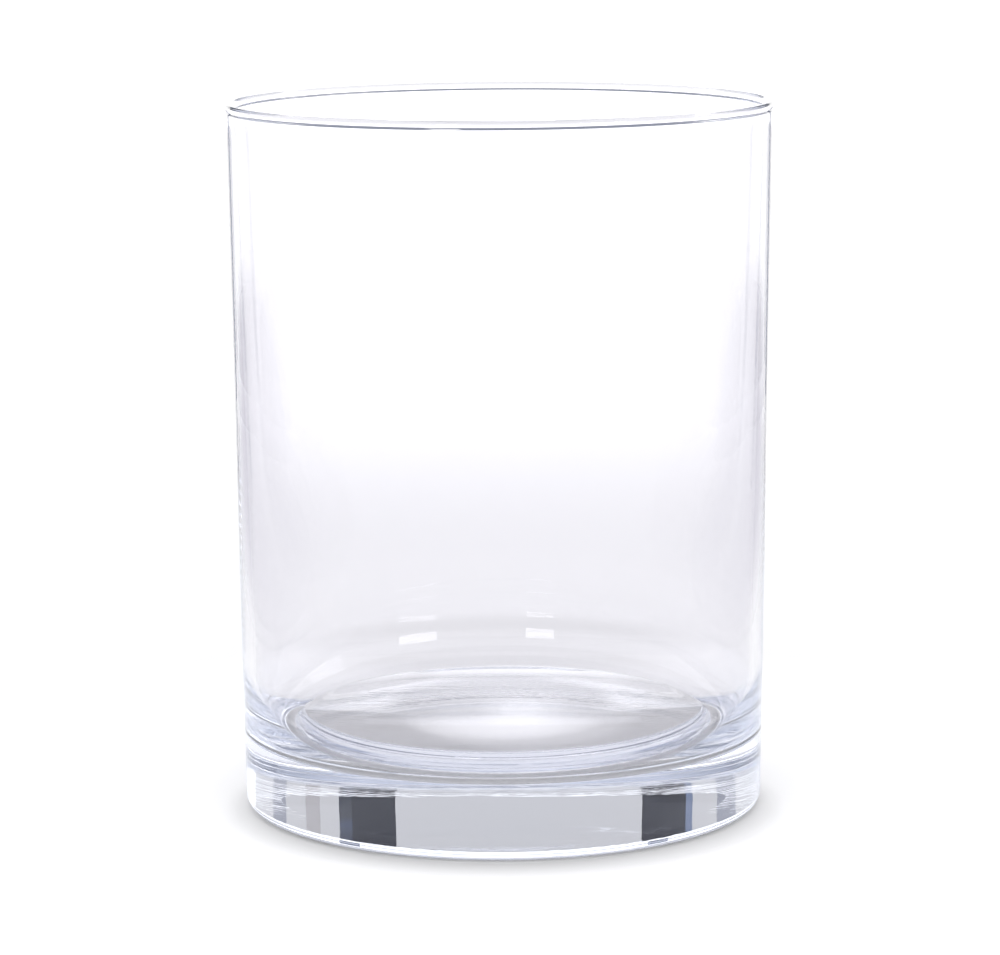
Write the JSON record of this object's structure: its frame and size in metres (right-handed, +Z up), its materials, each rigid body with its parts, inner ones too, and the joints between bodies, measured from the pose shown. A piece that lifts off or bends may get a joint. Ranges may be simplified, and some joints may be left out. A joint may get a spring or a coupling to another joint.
{
  "type": "whiskey tumbler",
  "caption": "Clear straight-sided whiskey tumbler with a thick solid base, thin gently tapered wall and rounded rim bead; an open-topped glass for holding and drinking cold drinks.",
  "frame": {"origin": "centre of the flat ring that the glass stands on", "axes": "+Z up along the axis of the glass, out of its open top; +X and +Y are alike, because the glass is round"},
  "size_m": [0.082, 0.082, 0.1068],
  "materials": {
    "clear_glass": "fire-polished soda-lime glass, smooth inside and out, lightly stippled underside"
  },
  "bodies": {
    "root": {"tumbler": "clear_glass"}
  },
  "joints": []
}
